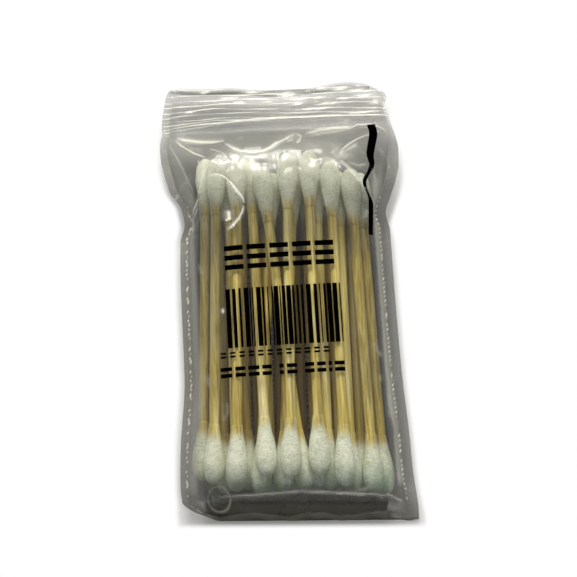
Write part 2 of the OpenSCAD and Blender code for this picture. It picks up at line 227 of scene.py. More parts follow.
# %% Lamps
def soft_lamp(name, place, aim, size, watts):
    data = bpy.data.lights.new(name, "AREA")
    data.shape, data.size, data.energy = "SQUARE", size, watts
    data.color = (1.0, 0.985, 0.945)
    lamp = bpy.data.objects.new(name, data)
    lamp.location = place
    lamp.rotation_euler = (Vector(place) - Vector(aim)).to_track_quat("Z", "Y").to_euler()
    bpy.context.scene.collection.objects.link(lamp)


soft_lamp("far_window", (0.0, 0.55, 0.60), (0, 0, 0), 0.40, 5.2)
soft_lamp("low_left_lamp", (-0.46, 0.40, 0.42), (0, 0, 0), 0.06, 0.7)
soft_lamp("foot_lamp", (0.12, -0.20, 0.42), (0, -0.03, 0), 0.24, 0.42)
soft_lamp("mouth_lamp", (-0.01, 0.105, 0.11), (0, 0.028, 0.015), 0.07, 0.06)
print("lamps:", len(bpy.data.lights))

# %% [markdown]
# ## The film
#
# The bag is one tube of film, folded shut at the bottom, welded along both sides and pressed closed at
# the top. A table of sections along the bag says how wide and how high it stands at each place, in
# millimetres. A smooth curve runs through the table's rows, so the film bends and never kinks. The sizes
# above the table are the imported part's own.

# %% Sections of the bag
# Places along the bag, edges across it, heights and wall, margins, and the sizes of closure, fold and bud
FOLD, FEET, HEADS, ZIP, MOUTH = -48.93, -45.53, 31.27, 39.67, 50.37
EAR, HEADER_LEFT, HEADER_RIGHT = 27.3, 26.6, 25.0
FOOT_LEFT, FOOT_RIGHT, NECK_LEFT, NECK_RIGHT = 25.9, 25.0, 22.43, 23.23
SEAM, TOP, FILM = 6.2, 19.01, 0.12
LEFT_MARGIN, RIGHT_MARGIN, TRIMMED_MARGIN, CORNER_TUCK, FOOT_ROOM = 1.8, 2.6, 0.6, 6.5, 3.4
ZIP_HEIGHT, ZIP_ROOM, ZIP_TILT, FOLD_SKEW, BUD_LENGTH = 5, 0.665, math.radians(7), 0.055, 13


def closure_height(y):
    return ZIP_HEIGHT - (y - ZIP) * math.tan(ZIP_TILT)


def closure_section(y, left, right):
    middle = closure_height(y)
    return (y, left, right, middle, middle + ZIP_ROOM, middle - ZIP_ROOM, 24)


# Place, left and right edge, height of the side weld, inside of the front and back film, squareness
SECTIONS = np.array([
    (FOLD, EAR - 1.4, EAR - 1.2, FILM, FILM, FILM, 3),
    (FOLD + 0.9, EAR - 1.3, EAR - 1.2, 0.62, 2.6, FILM, 3),
    (FOLD + 1.7, EAR - 1.3, EAR - 1.3, 0.3 * SEAM, 0.5 * TOP, FILM, 3.4),
    (FOLD + 2.4, EAR - 1.4, EAR - 1.4, 0.5 * SEAM, 0.74 * TOP, FILM, 3.8),
    (FEET, FOOT_LEFT, FOOT_RIGHT + 0.7, 0.75 * SEAM, 0.86 * TOP, FILM, 4.2),
    (FEET + 3, FOOT_LEFT + 0.1, FOOT_RIGHT + 0.3, SEAM, 0.96 * TOP, FILM, 4.6),
    (FEET + 7, FOOT_LEFT, FOOT_RIGHT, SEAM, TOP, FILM, 4.8),
    (FEET + 14, FOOT_LEFT - 0.4, FOOT_RIGHT - 0.2, SEAM, TOP - 0.2, FILM, 4.4),
    (FEET + 28.8, NECK_LEFT + 1.6, NECK_RIGHT + 0.9, SEAM, TOP - 1.2, FILM, 4),
    (HEADS - 28.8, NECK_LEFT + 1.5, NECK_RIGHT + 0.7, SEAM, TOP - 1.2, FILM, 4),
    (HEADS - 17.2, NECK_LEFT + 1.1, NECK_RIGHT + 0.7, SEAM, TOP - 0.3, FILM, 4.2),
    (HEADS - 13.2, NECK_LEFT, NECK_RIGHT, SEAM, TOP, FILM, 4.8),
    (HEADS - 9.2, NECK_LEFT + 0.6, NECK_RIGHT + 1.3, SEAM - 0.2, TOP, FILM, 4.8),
    (HEADS - 5.2, EAR - 1.9, EAR - 1.2, SEAM - 0.5, TOP, 0.22, 4.6),
    (HEADS - 1.2, EAR - 0.8, EAR - 0.2, SEAM - 0.9, TOP - 0.2, 0.72, 4.2),
    (HEADS + 2.6, EAR - 0.1, EAR, 5, TOP - 3, 1.72, 3.4),
    (HEADS + 5.2, EAR, EAR - 0.4, 5, 10.8, 2.8, 4),
    (ZIP - 0.8, HEADER_LEFT + 0.3, HEADER_RIGHT + 1.3, 5.1, 6.46, 4.24, 14),
    closure_section(ZIP - 0.1, HEADER_LEFT + 0.1, HEADER_RIGHT + 1.1),
    closure_section(ZIP + 4.8, HEADER_LEFT - 0.3, HEADER_RIGHT),
    closure_section(ZIP + 9.7, HEADER_LEFT - 1.5, HEADER_RIGHT - 1.1),
    closure_section(MOUTH, HEADER_LEFT - 2, HEADER_RIGHT - 3),
])


def section_at(y):
    """The table's columns at each place in y, on a curve that doesn't overshoot its rows."""
    places = SECTIONS[:, 0]
    row = np.clip(np.searchsorted(places, y, "right") - 1, 0, len(places) - 2)
    gap = np.diff(places)[row]
    k = (y - places[row]) / gap
    columns = []
    for values in SECTIONS.T[1:]:
        rates = np.diff(values) / np.diff(places)
        product = rates[:-1] * rates[1:]
        total = np.where(product > 0, rates[:-1] + rates[1:], 1)
        slopes = np.concatenate([rates[:1], np.where(product > 0, 2 * product / total, 0), rates[-1:]])
        straight = np.flatnonzero(places[:-1] > ZIP - 0.5)
        slopes[straight] = rates[straight]
        a, b, da, db = values[row], values[row + 1], slopes[row] * gap, slopes[row + 1] * gap
        columns.append(
            a * (2 * k**3 - 3 * k**2 + 1) + da * (k**3 - 2 * k**2 + k)
            + b * (3 * k**2 - 2 * k**3) + db * (k**3 - k**2)
        )
    return columns


# %% [markdown]
# Across the bag, the film arches from weld to weld. A squareness of 2 is an ellipse, and more than that is a
# box with round shoulders, as a bag has that is filled with rows of sticks. What fades in or out
# somewhere uses one eased step all through this lesson, and what lies along a line uses one smooth hill.

# %% Arch, eased step and smooth hill
def crown(share, squareness):
    """Height of the arch at a place across, from 0 at a weld to 1 in the middle."""
    return np.sqrt(np.maximum(0, 1 - np.abs(share) ** squareness))


def ease(start, end, value):
    """Nothing before start, all after end, eased at both. With the end before the start it falls."""
    k = np.clip((value - start) / (end - start), 0, 1)
    return k * k * (3 - 2 * k)


def hill(value, reach):
    """All at zero, and next to nothing two reaches away on both sides."""
    return np.exp(-(value / reach) ** 2)


# %% [markdown]
# A grid is the easiest start for a tube: its columns lie side by side round the bag, and its rows follow
# each other along it. The rows lie closer together where the film bends most: over the end wall, over the
# cotton heads and in the header, where fine ridges cross the bag.

# %% Rows and columns of the film
ROWS = 400
FRONT_COLUMNS, BACK_COLUMNS, MARGIN_COLUMNS = 188, 24, 8

fine = np.linspace(FOLD, MOUTH, 6000)
front_line = section_at(fine)[3]
spread = np.hypot(np.diff(fine), np.diff(front_line)) * np.interp(
    fine[1:], (-42, -36, 10, 18, 38, 40), (1, 0.55, 0.55, 1.1, 1.1, 1.9)
)
length = np.concatenate([[0], np.cumsum(spread)])
row_places = np.interp(np.linspace(0, length[-1], ROWS), length, fine)
print("widest gap between rows:", round(float(np.diff(row_places).max()), 2), "mm")


def side_shares(count):
    """Places across from weld to weld, closer together beside the welds, where the film turns down."""
    even = np.linspace(-1, 1, count + 1)
    return (2 * even + np.sin(even * math.pi / 2)) / 3


def skewed(x, y):
    """The bottom was not folded quite square, so its right end lies lower than its left."""
    return y - FOLD_SKEW * x * (1 - ease(FEET + 3, FEET + BUD_LENGTH + 4, y))


def ring_points(y):
    """One ring of the film's outside for each place in y: left margin, front, right margin, back."""
    left, right, weld, front, under, square = (c[:, None] for c in section_at(y))
    y = y[:, None]
    left = -left + CORNER_TUCK * np.maximum(0, 1 - (y - FOLD) / FOOT_ROOM) ** 1.5
    right_margin = RIGHT_MARGIN + (TRIMMED_MARGIN - RIGHT_MARGIN) * ease(HEADS, ZIP, y)
    weld_left, weld_right = left + LEFT_MARGIN, right - right_margin
    middle, reach = (weld_left + weld_right) / 2, (weld_right - weld_left) / 2
    margin = np.linspace(0, 1, MARGIN_COLUMNS + 1)[None, :-1]
    u = side_shares(FRONT_COLUMNS)[None, :]
    v = side_shares(BACK_COLUMNS)[None, ::-1]
    front_z = weld + (front - weld) * crown(u, square) + FILM
    pressed = np.maximum(under, weld - (weld - under) * 1.2 * crown(v, square + 1.6))
    closed = weld - (weld - under) * crown(v, square)
    back_z = np.where(y > ZIP - 1, closed, pressed) - FILM
    one = np.ones_like(margin)
    x = np.concatenate([
        left + LEFT_MARGIN * margin, middle + reach * u, weld_right + right_margin * (1 - margin[:, ::-1]),
        right - right_margin * margin, middle + reach * v, weld_left - LEFT_MARGIN * (1 - margin[:, ::-1]),
    ], 1)
    z = np.concatenate([
        (weld + FILM) * one, front_z, (weld + FILM) * one,
        (weld - FILM) * one, back_z, (weld - FILM) * one,
    ], 1)
    return np.stack([x, skewed(x, np.broadcast_to(y, x.shape)), z], 2)


points = ring_points(row_places)
RING = points.shape[1]
FRONT = slice(MARGIN_COLUMNS, MARGIN_COLUMNS + FRONT_COLUMNS + 1)
TOP_SIDE = slice(0, 2 * MARGIN_COLUMNS + FRONT_COLUMNS + 1)
print("rings:", points.shape[0], "points in a ring:", RING)

# %% [markdown]
# ## Sway, folds and creases
#
# Thin film never lies smooth. Three things bend it, from large to small. The whole header sways in
# slow waves, both films and the closure together. Sharp folds run from the welds to the cotton heads,
# where the flat header pulls on the full pouch. Between them lie many small dents.

# %% Waves of the header
def sway(x, y):
    """How far the flat header and its closure stand up or down at a place."""
    grow = ease(35, 46, y)
    return grow * (
        0.2 * np.sin((x + 6) / 5.6 + y / 30) + 0.05 * np.sin((x - 2) / 2.9 + y / 9)
        - 0.4 * (y - 40) / 10 * np.sin((x + 8) / 16)
    )


def lip_dip(x, y):
    """The lips' edge isn't straight: it dips in the middle and rises towards the right."""
    wave = 0.1 * np.sin(x / 2.3)
    for middle, reach, height in ((1, 8, -0.9), (-13, 4, -0.15), (15.5, 6, 0.9)):
        wave = wave + height * hill(x - middle, reach)
    return ease(MOUTH - 1.2, MOUTH, y) * wave - ease(34, MOUTH, y) * 0.034 * (x + 1)


def waved(place):
    x, y, z = place[..., 0], place[..., 1], place[..., 2]
    return np.stack([x, y + lip_dip(x, y), z + sway(x, y)], -1)


# %% [markdown]
# A cloth simulation would make folds, but not these folds. So each is drawn as a line through a
# few points seen from above, with a height, a half width and a whiteness. They are listed from the
# header's left end over the swabs' heads to its right end, and the last three lie in the end wall.

# %% Folds
# Points in millimetres, then height (minus for a valley), half width and whiteness
FOLDS = [
    ([(-23.9, 38.5), (-19.9, 33.4), (-16.2, 30)], 0.45, 0.5, 0.75),
    ([(-23.6, 38.7), (-17.7, 37), (-11.9, 36.2)], 0.4, 1.1, 0.8),
    ([(-22.5, 37.7), (-17.5, 35.9), (-12.5, 35.6)], 0.15, 1.5, 0.45),
    ([(-21, 35.4), (-17, 32.2)], 0.2, 1.1, 0.3),
    ([(-15.9, 33.4), (-13.3, 31.6), (-10.8, 30.2)], 0.3, 0.35, 0.6),
    ([(-13.7, 30.4), (-12, 29.1)], 0.25, 0.35, 0.6),
    ([(-12.6, 34.9), (-10.6, 33.2), (-8.4, 31.9), (-6, 31.4), (-3.7, 31.7), (-1.9, 32.7), (0.2, 34.9),
      (1.9, 36.7), (3.2, 38), (4.3, 38.4)], 0.6, 0.8, 0.9),
    ([(-12, 33.4), (-8.6, 30.9), (-4.5, 30.6), (-1.5, 32), (0.8, 34.6), (2.8, 36.4)], 0.25, 1.5, 0.6),
    ([(-11, 31), (-6.5, 29.6), (-3, 29.6), (-0.8, 30.4), (1.5, 31)], 0.15, 1.6, 0.62),
    ([(4, 38.4), (4.9, 36.9), (4.7, 34.8), (3.7, 32.2)], 0.35, 0.9, 0.6),
    ([(3.6, 36.6), (2.2, 34.6), (1.4, 32.6)], 0.25, 0.5, 0.35),
    ([(-24.6, 39.3), (-24.8, 36.5), (-22.6, 30.6), (-19.7, 22.8)], 0.3, 0.35, 0.45),
    ([(-16.2, 30), (-18.5, 22.7), (-20.9, 18.7)], 0.35, 0.5, 0.65),
    ([(-10.6, 28.4), (-5.7, 27.9), (-0.7, 27.5)], 0.2, 0.9, 0.6),
    ([(3.4, 37.6), (2.6, 35.4), (2.2, 33)], 0.05, 1.9, 0.5),
    ([(15.6, 38.8), (18.2, 40), (21.5, 40), (23.8, 38.6), (24.9, 37)], 0.15, 0.3, 0.7),
    ([(-13.3, 31), (-12.6, 31), (-11.4, 29.4), (-10.7, 28.9)], 0.15, 0.3, 0.75),
    ([(18.9, 22.6), (19.3, 25.1), (20, 26.6), (21.2, 27.6)], 0.15, 0.3, 0.7),
    ([(-1.3, 30), (-1, 25.8), (-0.4, 22.5)], 0.1, 0.35, 0.5),
    ([(-21.9, 21.6), (-20.3, 18.2), (-20.6, 14.5)], 0.15, 0.45, 0.45),
    ([(-20.3, 18.2), (-19, 20.2)], 0.15, 0.35, 0.5),
    ([(7, 36.9), (12, 37.9), (16.5, 38)], 0.05, 1.5, 0.45),
    ([(-22, 36.6), (-16, 36.9), (-12, 35.9)], 0.05, 1.6, 0.45),
    ([(-16.6, 26.2), (-15.2, 26.4), (-13.7, 26.1), (-12.2, 25.2), (-10.9, 23.8), (-9.9, 22.3), (-9, 20.8),
      (-8.4, 19.2)], 0.35, 0.33, 0.95),
    ([(-8.6, 18.8), (-9, 17.4), (-9.9, 15.9), (-11.2, 14.7), (-12.6, 13.5)], 0.3, 0.3, 0.85),
    ([(-12.1, 18), (-12, 15.5)], 0.5, 0.8, 0.85),
    ([(-14.6, -3.6), (-14.4, -4.6)], 0.2, 0.4, 0.8),
    ([(12.8, 28.6), (13.3, 30), (14.5, 31.4), (17.3, 33.9), (18.9, 35.3), (20.8, 36.6), (22.4, 37.3),
      (23.6, 37.6)], 0.45, 0.42, 0.75),
    ([(13, 28), (15, 30.3), (17.5, 32.2)], 0.2, 1.2, 0.5),
    ([(5.5, 37.4), (9.2, 39), (13.1, 39.4), (18, 39.3)], 0.25, 1.1, 0.65),
    ([(6, 35.8), (9.5, 37.4), (14, 38.2)], 0.15, 1.3, 0.3),
    ([(10.5, 33.2), (13, 30.6), (14.2, 28.6)], 0.2, 0.9, 0.35),
    ([(14.4, 27.6), (17.2, 26.6), (19.5, 27.3)], 0.25, 0.7, 0.5),
    ([(12.4, 28), (14.6, 26.4), (16.3, 24.4), (17.6, 22.6)], 0.25, 1.1, 0.75),
    ([(16.3, 24), (18, 21.9), (19.4, 21), (21.5, 18.7)], 0.35, 0.4, 0.5),
    ([(5.5, 29), (7.6, 27.9), (10.5, 28.3), (12.5, 27.6)], 0.25, 0.9, 0.7),
    ([(17.8, 30.5), (20.5, 27), (22.6, 21.5)], 0.3, 0.4, 0.35),
    ([(-17.7, -44.1), (-15.4, -44.3), (-8.4, -44.4), (0, -44.2), (9.3, -45), (18.6, -46), (21.5, -46.9)],
     0.3, 0.28, 0.6),
    ([(18.4, -45.6), (20.9, -46.6), (22.3, -47.1)], 0.35, 0.4, 0.7),
    ([(-17.2, -44), (-16.4, -45.4)], -0.3, 0.6, 0),
]
print("folds:", len(FOLDS))

# %% [markdown]
# Every point of the film knows its distance to a fold's line. Near it the film is pushed in or out along its
# own normal, so the fold is real and takes real light. The film is also painted white there, sharply on the
# crest and faintly beside it: partly the whitening of creased film, partly a painted highlight, and on the
# broad low folds a painted sheen.

# %% From a line to the film
def to_line(x, y, line):
    """Distance of every place to a line through points, and how far along it the nearest point is."""
    best, share = np.full(x.shape, 1e9), np.zeros(x.shape)
    ends = np.array(line, dtype=float)
    steps = np.hypot(*np.diff(ends, axis=0).T)
    before = np.concatenate([[0], np.cumsum(steps)])
    for i, step in enumerate(steps):
        (ax, ay), (bx, by) = ends[i], ends[i + 1]
        k = np.clip(((x - ax) * (bx - ax) + (y - ay) * (by - ay)) / step**2, 0, 1)
        distance = np.hypot(x - ax - k * (bx - ax), y - ay - k * (by - ay))
        share = np.where(distance < best, (before[i] + k * step) / before[-1], share)
        best = np.minimum(distance, best)
    return best, share


def fold_effect(x, y, folds):
    """Push along the normal and whiteness, partly painted highlight, from all folds, each fading out at its
    two ends.
    """
    push, white = np.zeros(x.shape), np.zeros(x.shape)
    for line, height, width, whiteness in folds:
        low, high = np.min(line, 0) - 4 * width - 0.5, np.max(line, 0) + 4 * width + 0.5
        near = (x > low[0]) & (x < high[0]) & (y > low[1]) & (y < high[1])
        distance, share = to_line(x[near], y[near], line)
        fade = np.sqrt(np.clip(np.minimum(share, 1 - share) * 6, 0, 1))
        push[near] += height * fade * hill(distance, width)
        crest, halo = hill(distance, 0.5 * width), hill(distance, 1.8 * width)
        white[near] = np.maximum(white[near], whiteness * fade * (0.72 * crest + 0.28 * halo))
    return push, white


# %% [markdown]
# The small dents are folds too, only short, shallow and scattered. A seeded random generator places
# them, so the bag comes out the same each time. They gather where film is crushed: round the cotton
# heads, in the header, beside the welds and in the end wall.

# %% Small dents
random = np.random.default_rng(30)
DENT_ZONES = [
    # count, x from and to, y from and to, main direction in degrees, spread, longest
    (70, -25, 25, 24, 39, 20, 70, 6),
    (46, -24, 23, 40, 49.5, 0, 25, 5),
    (14, -25.5, -21, 12, 22, 60, 60, 3),
    (14, -24, 22, -48, -45, 90, 20, 3),
    (26, -23, -17, -40, 20, 80, 40, 4),
    (26, 18, 23, -42, 20, 95, 40, 4),
    (16, -17, 17, -36, 20, 90, 80, 5),
    (16, -22, 20, -48, -43, 0, 50, 4),
]
dents = []
for count, x0, x1, y0, y1, direction, turn, longest in DENT_ZONES:
    for _ in range(count):
        centre = np.array((random.uniform(x0, x1), random.uniform(y0, y1)))
        angle = math.radians(direction + random.uniform(-turn, turn))
        half = 0.5 * random.uniform(1.2, longest) * np.array((math.cos(angle), math.sin(angle)))
        bend = random.uniform(-0.4, 0.4) * np.array((-half[1], half[0]))
        line = [tuple(centre - half), tuple(centre + bend), tuple(centre + half)]
        height, width = random.uniform(-0.16, 0.16), random.uniform(0.3, 0.9)
        dents.append((line, height, width, max(0, random.uniform(-0.5, 0.35))))
print("dents:", len(dents))


def slow_dents(x, y):
    """Broad soft undulation, so a reflection breaks up into patches."""
    total = np.zeros(x.shape)
    for _ in range(14):
        angle, size = random.uniform(0, math.pi), random.uniform(4, 13)
        along = (x * math.cos(angle) + y * math.sin(angle)) * 2 * math.pi / size
        total += np.sin(along + random.uniform(0, 6.3)) * size
    return total * 0.0016


# %% [markdown]
# Ten fine ridges cross the header, where the strips were pressed into the film, and draw together towards
# its right end. Their whiteness, partly creased film and partly a painted highlight, comes and goes along
# them, and between them lie small patches of painted sheen.

# %% Header ridges
# The place along the bag of each ridge, at five places across
RIDGE_PLACES = (-25, -14, -1, 12, 25)
RIDGES = [
    (51.0, 50.4, 50.0, 49.7, 49.6), (49.5, 49.0, 48.6, 48.3, 48.4), (47.8, 47.8, 47.4, 47.2, 46.4),
    (46.6, 46.8, 46.2, 46.1, 45.1), (45.3, 45.7, 44.8, 44.5, 43.8), (44.1, 44.6, 43.9, 43.4, 42.8),
    (43.0, 43.3, 42.8, 42.6, 42.0), (42.2, 42.7, 42.5, 42.5, 42.0), (41.3, 42.2, 42.7, 42.6, 42.0),
    (40.5, 41.8, 42.4, 42.4, 41.9),
]
# Patches of painted sheen: centre, half length and half width
SHEEN_PATCHES = [
    (-16.5, 50, 1.6, 0.4), (-11, 48, 3, 0.5), (-8.5, 46.9, 2, 0.35), (-5, 49.3, 2.5, 0.3),
    (2.6, 48.3, 2.6, 0.9), (5.4, 47.2, 3, 0.5), (4.8, 45.9, 1.6, 0.4), (-2, 46.8, 1.5, 0.3),
    (10.8, 49.6, 2.2, 0.45), (15.1, 49.2, 2.4, 0.5), (18.5, 48.6, 2.6, 0.5), (20.2, 47.1, 2.6, 0.45),
    (15.6, 46.8, 2, 0.4), (22.9, 45.3, 1.3, 0.6), (10, 47.3, 2, 0.35), (19.8, 42.9, 4, 0.35),
    (8.6, 44.5, 5, 0.35), (-0.3, 42.6, 2.4, 0.3), (12, 45.6, 3, 0.3), (-20, 45.2, 1.5, 0.3),
]


def ridge_effect(x, y):
    """Push and whiteness of all ridges, partly painted highlight, and the painted sheen of the patches."""
    push, white = np.zeros(x.shape), np.zeros(x.shape)
    y = y + lip_dip(x, y)
    for i, heights in enumerate(RIDGES):
        line_y = np.interp(x, RIDGE_PLACES, heights) + 0.1 * np.sin(x / 2.4 + 2 * i)
        broken = 0.5 + 0.5 * np.sin(x / (2.1 + 0.37 * i) + 1.7 * i) * np.sin(x / 5.3 + i)
        push += 0.1 * hill(y - line_y, 0.17)
        strength = (0.34 + 0.62 * broken) * (1 if i < 9 else 0.6)
        white = np.maximum(white, strength * hill(y - line_y, 0.15))
    for x0, y0, half_length, half_width in SHEEN_PATCHES:
        ragged = 0.75 + 0.25 * np.sin(x * 3.1 + y0) * np.sin(y * 7 + x)
        near = ((x - x0) / half_length) ** 2 + ((y - y0 - 0.03 * (x - x0)) / half_width) ** 2
        white = np.maximum(white, 0.9 * ragged * np.exp(-near))
    inside = ease(-26.6, -26.2, x) * ease(25.6, 25.0, x)
    return push * inside, white * inside


# %% [markdown]
# Where the film lies on the swabs it follows them a little: it dips between two neighbouring buds. The
# dips end before the film could touch the sticks.

# %% Dips between buds
# Places across of the buds that touch the front film
FRONT_FEET = [-21, -17.6, -13.3, -6.9, -1.4, 4.8, 9.9, 13.8, 17.8]
FRONT_HEADS = [-15.8, -11.6, -6, -3.4, 1.8, 6.6, 11.4, 15.4]


def bud_dips(x, y):
    """Push of the front film between the buds, which is downwards."""
    total = np.zeros(x.shape)
    for places, centre, reach in ((FRONT_FEET, -38.5, 5.5), (FRONT_HEADS, 25, 6)):
        on_bud = np.max([hill(x - place, 1.9) for place in places], 0)
        total -= 0.55 * (1 - on_bud) * np.exp(-((y - centre) / reach) ** 4) * (np.abs(x) < 18.5)
    return total


# %% [markdown]
# Now all pushes are added up. The front takes everything and the back only its broad undulation. The
# header is kept calm, because its two films hold the strips between them. Last the bottom hem gets its small
# waves, and nothing may sink under the table.

# %% The film's final shape
def normals_of(grid):
    """Outward direction at each point of the closed tube of rings."""
    round_bag = np.roll(grid, -1, 1) - np.roll(grid, 1, 1)
    along_bag = np.gradient(grid, axis=0)
    normal = np.cross(along_bag, round_bag)
    return normal / np.maximum(np.linalg.norm(normal, axis=2, keepdims=True), 1e-9)


outward = normals_of(points)
print("front looks up:", round(float(outward[ROWS // 2, FRONT, 2].mean()), 2))
x, y = points[:, :, 0], points[:, :, 1]
along = row_places[:, None]
top_side = np.zeros(x.shape, bool)
top_side[:, TOP_SIDE] = True
fold_push, fold_white = fold_effect(x, y, FOLDS)
dent_push, dent_white = fold_effect(x, y, dents)
ridge_push, ridge_white = ridge_effect(x, y)
undulation = slow_dents(x, y)
free = ease(FOLD + 0.2, FOLD + 1.4, along) * ease(MOUTH, MOUTH - 0.4, along)
front_only = np.zeros(x.shape)
front_only[:, FRONT] = np.clip((1 - side_shares(FRONT_COLUMNS) ** 2) * 6, 0, 1)[None, :]
push = front_only * (fold_push + dent_push + undulation + bud_dips(x, y)) + top_side * ridge_push
back_only = (~top_side) * (points[:, :, 2] > 0.6)
push += back_only * 0.5 * undulation
calm = 1 - 0.75 * ease(38, 40.5, y)
points = waved(points + outward * (free * calm * push)[:, :, None])
hem_waves = 0.22 * np.sin(x / 2.1) + 0.12 * np.sin(x / 0.83 + 1)
points[:, :, 1] += ease(FOLD + 2.2, FOLD, along) * hem_waves
points[:, :, 2] = np.maximum(points[:, :, 2], 0)
whiteness = np.where(top_side, np.maximum(np.maximum(fold_white, dent_white), ridge_white), 0.3 * dent_white)

# %% [markdown]
# ## How thick the film looks
#
# Clear film shows itself by how much it hides, its whitened creases, its gloss and the dark that is seen
# through it. Each is a number at every point of the mesh: `veil` for how much the film hides, `white` for
# whitened creases, painted highlights and painted sheen, `shade` for painted shade, and `matt` for what has
# lost its gloss. Kept on the mesh, they stay with the film from every side. Two films that are welded hide
# more than one, so the margins and the header come first. The header is dull between its ridges, and shines
# on them. The side fins, the header's left part between its ridges and the right ear get painted shade.

# %% Margins and header
column = np.arange(RING) + 0.5
from_edge = np.min([column, np.abs(column - TOP_SIDE.stop), RING - column], 0)
fins = np.broadcast_to(from_edge < MARGIN_COLUMNS, x.shape)
veil = np.where(fins, 0.42, np.where(top_side, 0.15, 0.55))
veil += ease(34, 39, along) * (np.where(top_side, 0.22, 0.32) - veil)
fins = fins * ease(30, 24, y)
from_weld = np.minimum(x - x[:, [MARGIN_COLUMNS]], x[:, [MARGIN_COLUMNS + FRONT_COLUMNS]] - x)
in_header = ease(38.5, 41, y)
matt = 0.85 * ease(2.2, 0.2, from_weld) * (1 - 0.6 * ease(39, 41, y))
between_ridges = in_header * (0.93 - 0.25 * ease(-16, 2, x)) * (1 - 0.85 * ridge_white)
matt = np.max([matt, between_ridges, 0.2 * ease(31, 34, y)], 0)
# Painted shade: on the header's left part between its ridges, on the right ear and on the side fins.
header_shade = 0.5 * in_header * (1 - 0.8 * ease(-16, 2, x)) * (1 - ridge_white)
right_ear_shade = 0.25 * ease(16, 21, x) * ease(22, 28, y) * ease(40, 37, y)
shade = np.max([0.56 * fins * ease(-47, -41, y), header_shade, right_ear_shade], 0)
print("share of the film that is margin:", round(float(fins.mean()), 2))

# %% [markdown]
# The end wall turns away from the window, so it gets painted shade and is the darkest part of the bag,
# lighter in scallops and at a paler hem at its foot. The film over the swabs' lower end gets painted shade
# too. A full bag also lies in its own shadow, so the back film under the swabs is painted dark as that
# shadow, and it is dull too, so that it mirrors nothing. The bottom corners beside the end wall are whitened
# a little.

# %% End wall and back
inside_end = ease(-22, -20, x) * ease(19.4, 18.4, x)
end_wall = ease(FOLD + 4.0, FOLD + 2.6, along) * inside_end
low_end = ease(FEET + 8.5, FEET - 0.5, along) * inside_end * top_side * (1 - end_wall)
corners = (1 - inside_end) * ease(-42, -45.5, y) * top_side
scallops = np.clip(np.sin(x / 1.45 + 1) * np.sin(x / 4 + 0.4) + 0.1, 0, 1)
hem_height = FOLD + 0.7 + 0.4 * np.abs(np.sin(x / 4.6 + 0.7)) + 0.2 * ease(8, 11, x)
hem = ease(hem_height + 0.12, hem_height - 0.12, along) * inside_end * top_side
under_swabs = (~top_side) * ease(21, 19, np.abs(x)) * ease(33, 29, y)
# Painted shade on the end wall, lighter in the scallops and at the hem, and over the swabs' lower end.
veil += end_wall * np.where(top_side, 0.62 - 0.22 * scallops, 0.4) + 0.42 * low_end
end_shade = np.maximum(end_wall * (0.62 - 0.3 * scallops), 0.95 * low_end) * (1 - 0.8 * hem)
shade = np.max([shade, end_shade, under_swabs], 0)
matt = np.max([matt, end_wall, under_swabs], 0)
print("dark back film over", round(float(under_swabs[:, TOP_SIDE.stop:].mean()), 2), "of the back")

# %% [markdown]
# Over the swabs the front film is nearly clear. It gets painted shade where it leans down to the sides,
# under the heads and over the upper left sticks, and a little over all the swabs. Beside the bundle, where
# no swab lies behind it, it is made paler with a little more veil and white.

# %% Over and beside the swabs
bundle_edge = 19.5 + np.where(x > 0, 0.9, 1.7) * ease(-25, -32, y)
beside = ease(bundle_edge, bundle_edge + 1.2, np.abs(x)) * ease(30, 22, y)
beside *= ease(-45, -42, y) * np.where(x > 0, 1.9, 1) * top_side * (1 - fins)
over_swabs = ease(20, 18, np.abs(x)) * ease(24.5, 19, y) * top_side
under_heads = over_swabs * ease(3, 11, y)
upper_left = over_swabs * ease(-11, -15, x) * ease(-16, -6, y)
shoulders = np.maximum(ease(10, 17, np.abs(x)), 0.8 * ease(8, 14, y)) * top_side
shoulders *= ease(26, 22, y) * ease(-32, -20, y) * ease(20.5, 18.5, np.abs(x))
# Painted shade over the swabs, and paler film beside them.
veil += 0.14 * shoulders + 0.16 * under_heads + 0.12 * upper_left
veil = np.maximum(veil, 0.95 * under_swabs) + 0.16 * beside
shade = np.max([shade, 0.8 * shoulders, 0.85 * under_heads, 0.8 * upper_left, 0.5 * over_swabs], 0)
print("veil over the middle of the swabs:", round(float(veil[ROWS // 2, RING // 5]), 2))

# %% [markdown]
# Over the heads the film carries an uneven white painted sheen, the window's reflection in its rising
# shoulder. The paler places of the last two steps get a little white too.

# %% Painted sheen over the heads
painted_sheen = 0.68 * ease(19, 12, np.abs(x)) * hill(y - 28, 4.3)
painted_sheen += 0.15 * np.exp(-((x + 6.5) / 5.5) ** 4 - ((y - 29.8) / 2.0) ** 2)
painted_sheen *= top_side * (0.8 + 0.2 * np.sin(x / 2.1 + 1) * np.sin(y / 1.1) + 0.12 * np.sin(x / 0.9 + y))
lines = np.where(end_wall > 0.3, np.minimum(whiteness, fold_white), whiteness)
whiteness = np.max([lines, painted_sheen, 0.2 * beside, 0.13 * hem, 0.13 * corners], 0)
print("whitest haze:", round(float(painted_sheen.max()), 2))

# %% [markdown]
# The weld was pressed by a knurled wheel, which leaves a row of small white dots, broken here and there,
# along a faint white line. Near the left bottom corner lies a bubble, of which only the rim shows.

